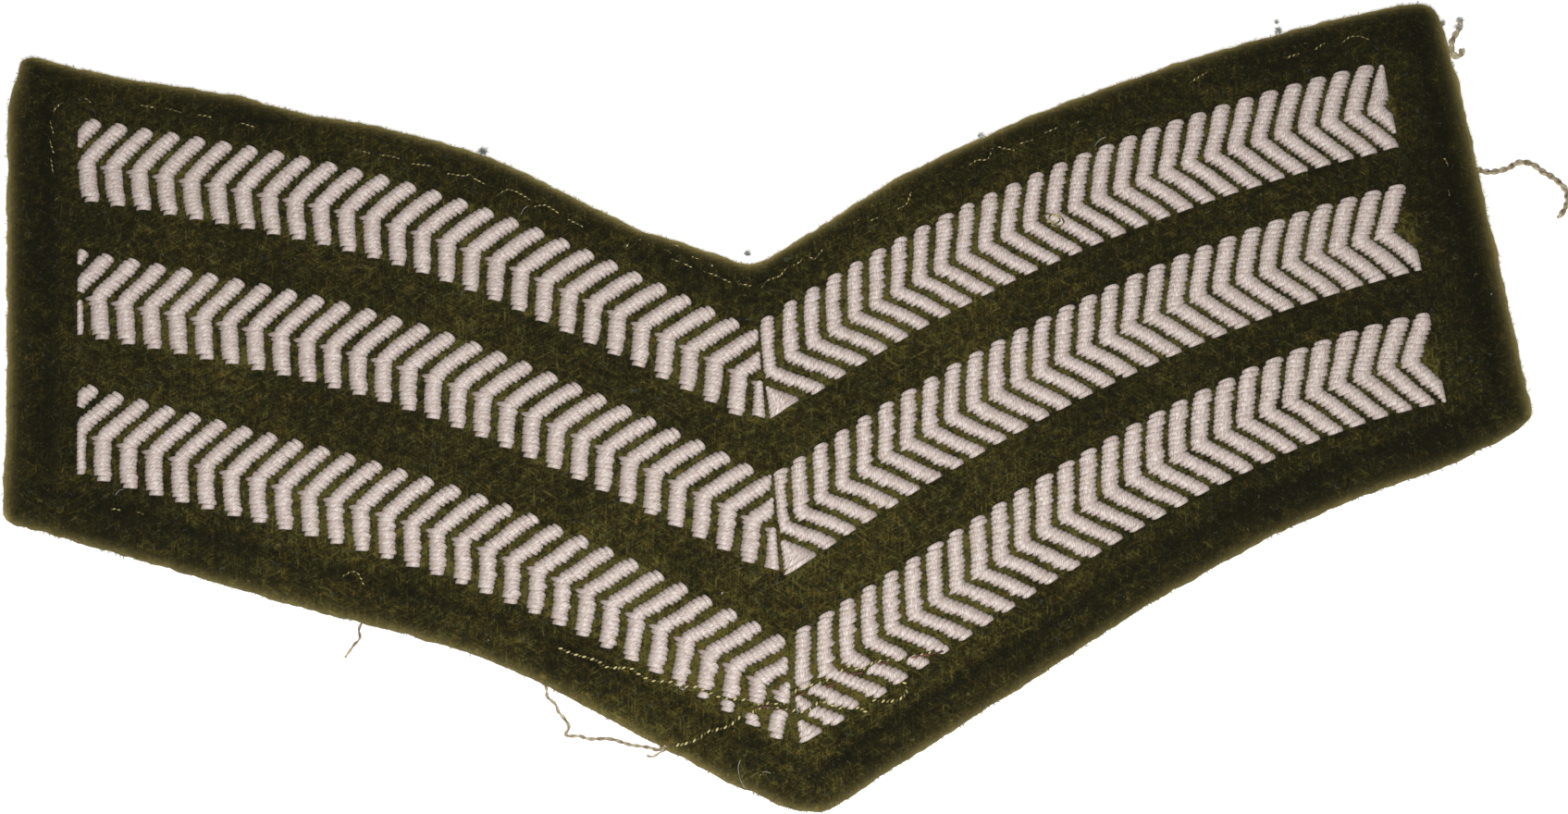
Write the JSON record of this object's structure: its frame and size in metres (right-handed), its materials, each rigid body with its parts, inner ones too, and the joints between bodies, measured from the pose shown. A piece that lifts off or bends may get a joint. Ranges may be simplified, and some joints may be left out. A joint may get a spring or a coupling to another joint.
{
  "type": "rank chevron patch",
  "caption": "Sew-on cloth patch: a felt ground cut to a wide chevron, with embroidered chevron stripes made of separate arrow-shaped satin bars.",
  "frame": {"origin": "on the back face of the felt, on the seam where the left and right arms meet, under the middle stripe", "axes": "+X to the right of the patch, +Y up the patch, +Z out of its embroidered face"},
  "size_m": [0.1499, 0.0836, 0.003],
  "materials": {
    "wool_felt": "matt, fibrous",
    "satin_thread": "soft sheen"
  },
  "bodies": {
    "root": {"felt_ground": "wool_felt", "chevron_top_left": "satin_thread", "chevron_top_right": "satin_thread", "chevron_middle_left": "satin_thread", "chevron_middle_right": "satin_thread", "chevron_bottom_left": "satin_thread", "chevron_bottom_right": "satin_thread"}
  },
  "joints": []
}
